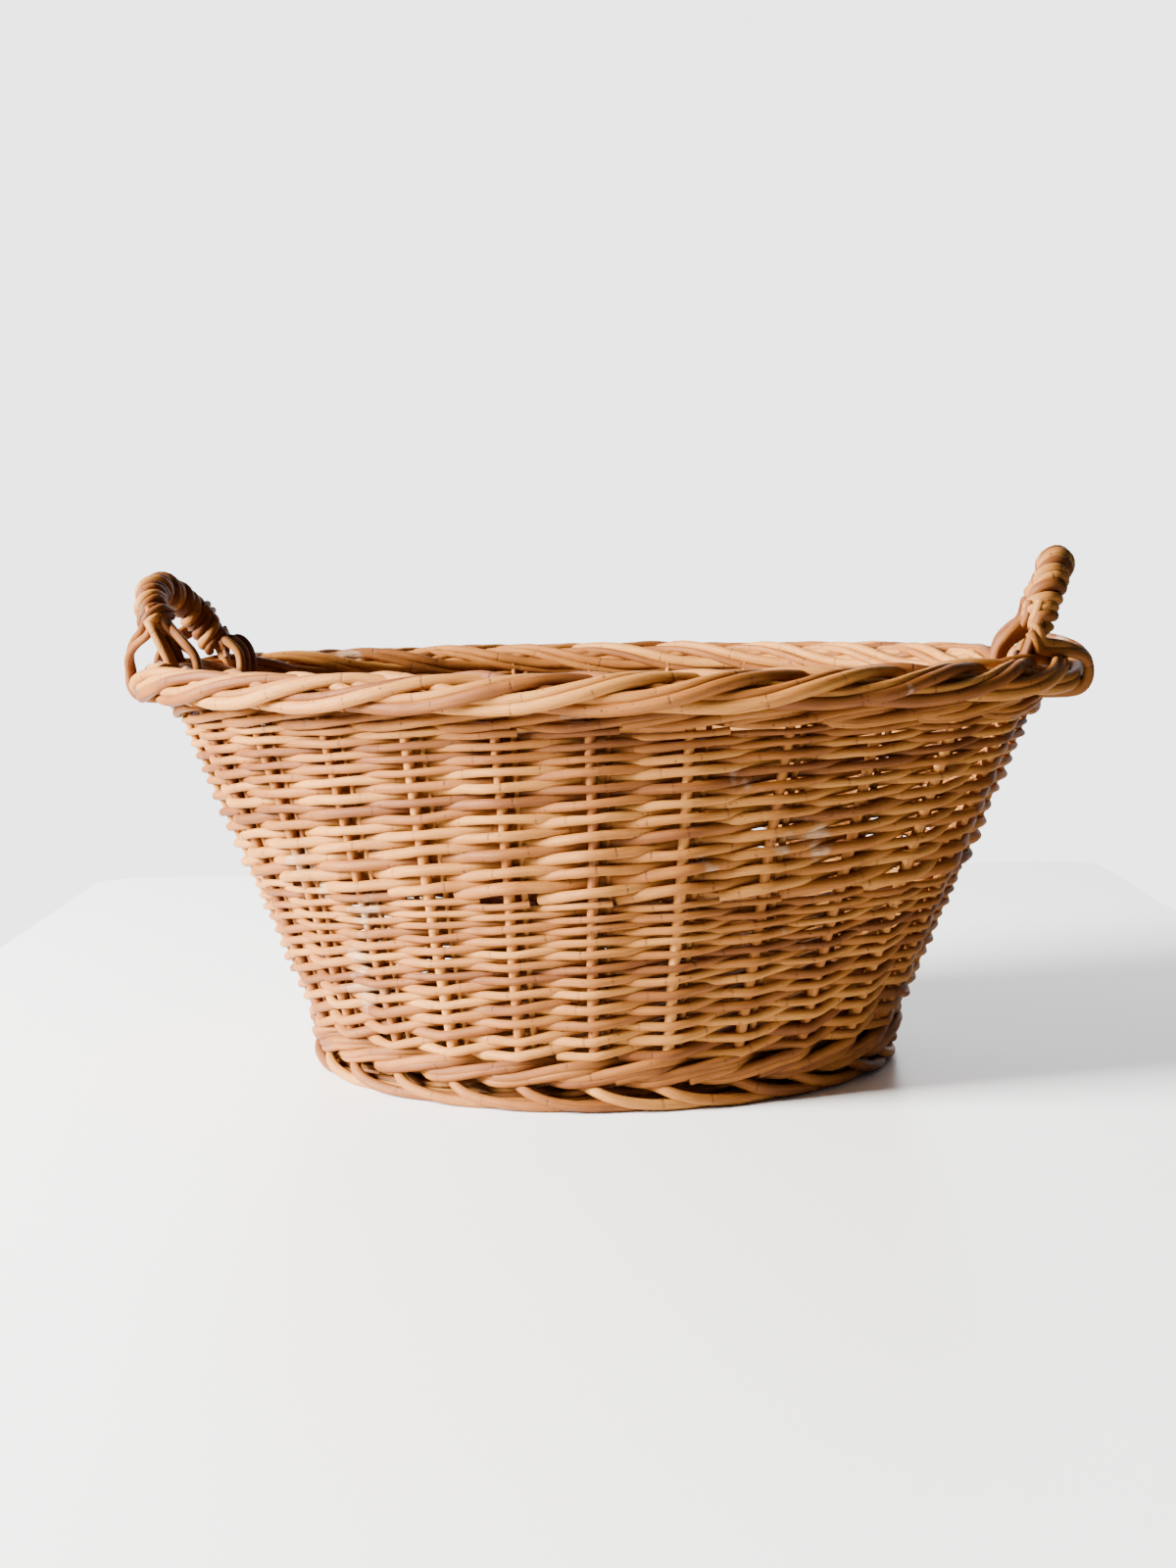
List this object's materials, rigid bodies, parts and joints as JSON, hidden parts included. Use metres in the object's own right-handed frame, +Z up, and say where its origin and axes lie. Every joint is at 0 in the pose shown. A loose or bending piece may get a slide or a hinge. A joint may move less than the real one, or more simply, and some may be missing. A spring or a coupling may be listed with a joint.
{
  "type": "laundry basket",
  "caption": "Oval woven willow laundry basket with a plaited rim, a rolled foot and a roped bow handle at each end.",
  "frame": {"origin": "centre of the underside of the foot, at floor level", "axes": "+X along the long axis towards the right handle, +Z up, -Y is the front"},
  "size_m": [0.7088, 0.516, 0.3657],
  "materials": {
    "willow_stakes": "natural willow, satin, slightly worn",
    "willow_base": "natural willow, satin, slightly worn",
    "willow_weavers": "natural willow, satin, slightly worn",
    "willow_borders": "natural willow, satin, slightly worn",
    "willow_handles": "natural willow, satin, slightly worn"
  },
  "bodies": {
    "root": {"base_long_sticks": "willow_base", "base_cross_sticks": "willow_base", "base_weave": "willow_base", "foot_border": "willow_borders", "upsett_wale": "willow_borders", "stake_01": "willow_stakes", "stake_02": "willow_stakes", "stake_03": "willow_stakes", "stake_04": "willow_stakes", "stake_05": "willow_stakes", "stake_06": "willow_stakes", "stake_07": "willow_stakes", "stake_08": "willow_stakes", "stake_09": "willow_stakes", "stake_10": "willow_stakes", "stake_11": "willow_stakes", "stake_12": "willow_stakes", "stake_13": "willow_stakes", "stake_14": "willow_stakes", "stake_15": "willow_stakes", "stake_16": "willow_stakes", "stake_17": "willow_stakes", "stake_18": "willow_stakes", "stake_19": "willow_stakes", "stake_20": "willow_stakes", "stake_21": "willow_stakes", "stake_22": "willow_stakes", "stake_23": "willow_stakes", "stake_24": "willow_stakes", "stake_25": "willow_stakes", "stake_26": "willow_stakes", "bye_stakes": "willow_stakes", "lower_rand": "willow_weavers", "upper_rand": "willow_weavers", "top_wale": "willow_borders", "rim_border": "willow_borders", "handle_bow_right": "willow_handles", "handle_bow_left": "willow_handles", "handle_roping_right": "willow_handles", "handle_roping_left": "willow_handles", "lashing_right_front": "willow_handles", "lashing_right_back": "willow_handles", "lashing_left_front": "willow_handles", "lashing_left_back": "willow_handles"}
  },
  "joints": []
}
